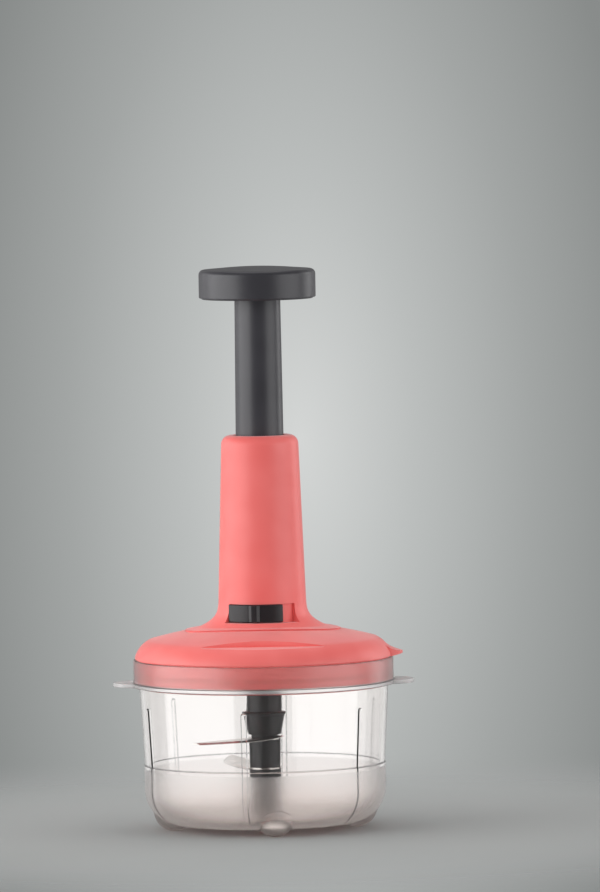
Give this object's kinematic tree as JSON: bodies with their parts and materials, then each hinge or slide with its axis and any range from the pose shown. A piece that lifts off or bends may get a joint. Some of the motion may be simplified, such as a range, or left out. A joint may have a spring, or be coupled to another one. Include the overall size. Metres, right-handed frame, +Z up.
{
  "type": "plunger food chopper",
  "caption": "Hand-pumped food chopper: a knob drives a plunger through the lid's tower, and a twisted shaft turns curved blades in a clear bowl.",
  "frame": {"origin": "on the table under the bowl's axis, at the underside of the feet", "axes": "+Z up along the plunger, -Y towards the front with the lock slider, +X towards the lid's pull tab"},
  "size_m": [0.1446, 0.1266, 0.2703],
  "materials": {
    "clear_plastic": "clear moulded styrene acrylonitrile, milky low down",
    "coral_plastic": "satin moulded ABS",
    "dark_plastic": "satin moulded polypropylene",
    "blade_steel": "stamped stainless steel with ground edge",
    "spring_steel": "drawn spring wire",
    "silicone": "moulded silicone",
    "acetal": "natural acetal",
    "zinc_steel": "turned or rolled bright steel"
  },
  "bodies": {
    "bowl": {"bowl": "clear_plastic", "pivot_pin": "zinc_steel"},
    "lid": {"lid_shell": "coral_plastic", "lid_plug": "coral_plastic", "lid_seal": "silicone", "lid_screws": "zinc_steel", "barrel_screws": "zinc_steel", "guide_barrel": "dark_plastic", "mouth_bush": "acetal", "shaft_bearing": "acetal", "spring_seat": "zinc_steel", "return_spring": "spring_steel"},
    "plunger": {"plunger_tube": "dark_plastic", "guide_ring": "acetal", "twist_nut": "acetal", "knob_base": "dark_plastic", "knob_cap": "dark_plastic", "knob_screw": "zinc_steel"},
    "drive": {"twisted_shaft": "zinc_steel", "drive_nose": "dark_plastic", "thrust_washer": "zinc_steel", "shaft_clip": "spring_steel"},
    "blade_set": {"hub_foot": "dark_plastic", "hub_base": "dark_plastic", "hub_socket": "dark_plastic", "blade_upper": "blade_steel", "blade_lower": "blade_steel"},
    "lock": {"lock_slider": "dark_plastic"}
  },
  "joints": [
    {"name": "lid_lift", "type": "slide", "parent": "bowl", "child": "lid", "axis": [0, 0, 1], "range_m": [0, 0.095]},
    {"name": "press", "type": "slide", "parent": "lid", "child": "plunger", "axis": [0, 0, -1], "range_m": [0, 0.0552], "stiffness_N_per_m": 180, "springref_m": -0.02, "deforming": ["return_spring"]},
    {"name": "drive_spin", "type": "hinge", "parent": "lid", "child": "drive", "pos_m": [0, 0, 0.085], "axis": [0, 0, 1], "range_deg": [0, 796]},
    {"name": "blade_spin", "type": "hinge", "parent": "bowl", "child": "blade_set", "pos_m": [0, 0, 0.04], "axis": [0, 0, 1], "range_deg": [0, 796]},
    {"name": "lock_slide", "type": "hinge", "parent": "lid", "child": "lock", "pos_m": [0, 0, 0.1048], "axis": [0, 0, 1], "range_deg": [0, 19.4]}
  ],
  "couplings": [
    {"joint": "drive_spin", "follows": "press", "rad_per_m": 251.33},
    {"joint": "blade_spin", "follows": "press", "rad_per_m": 251.33}
  ]
}
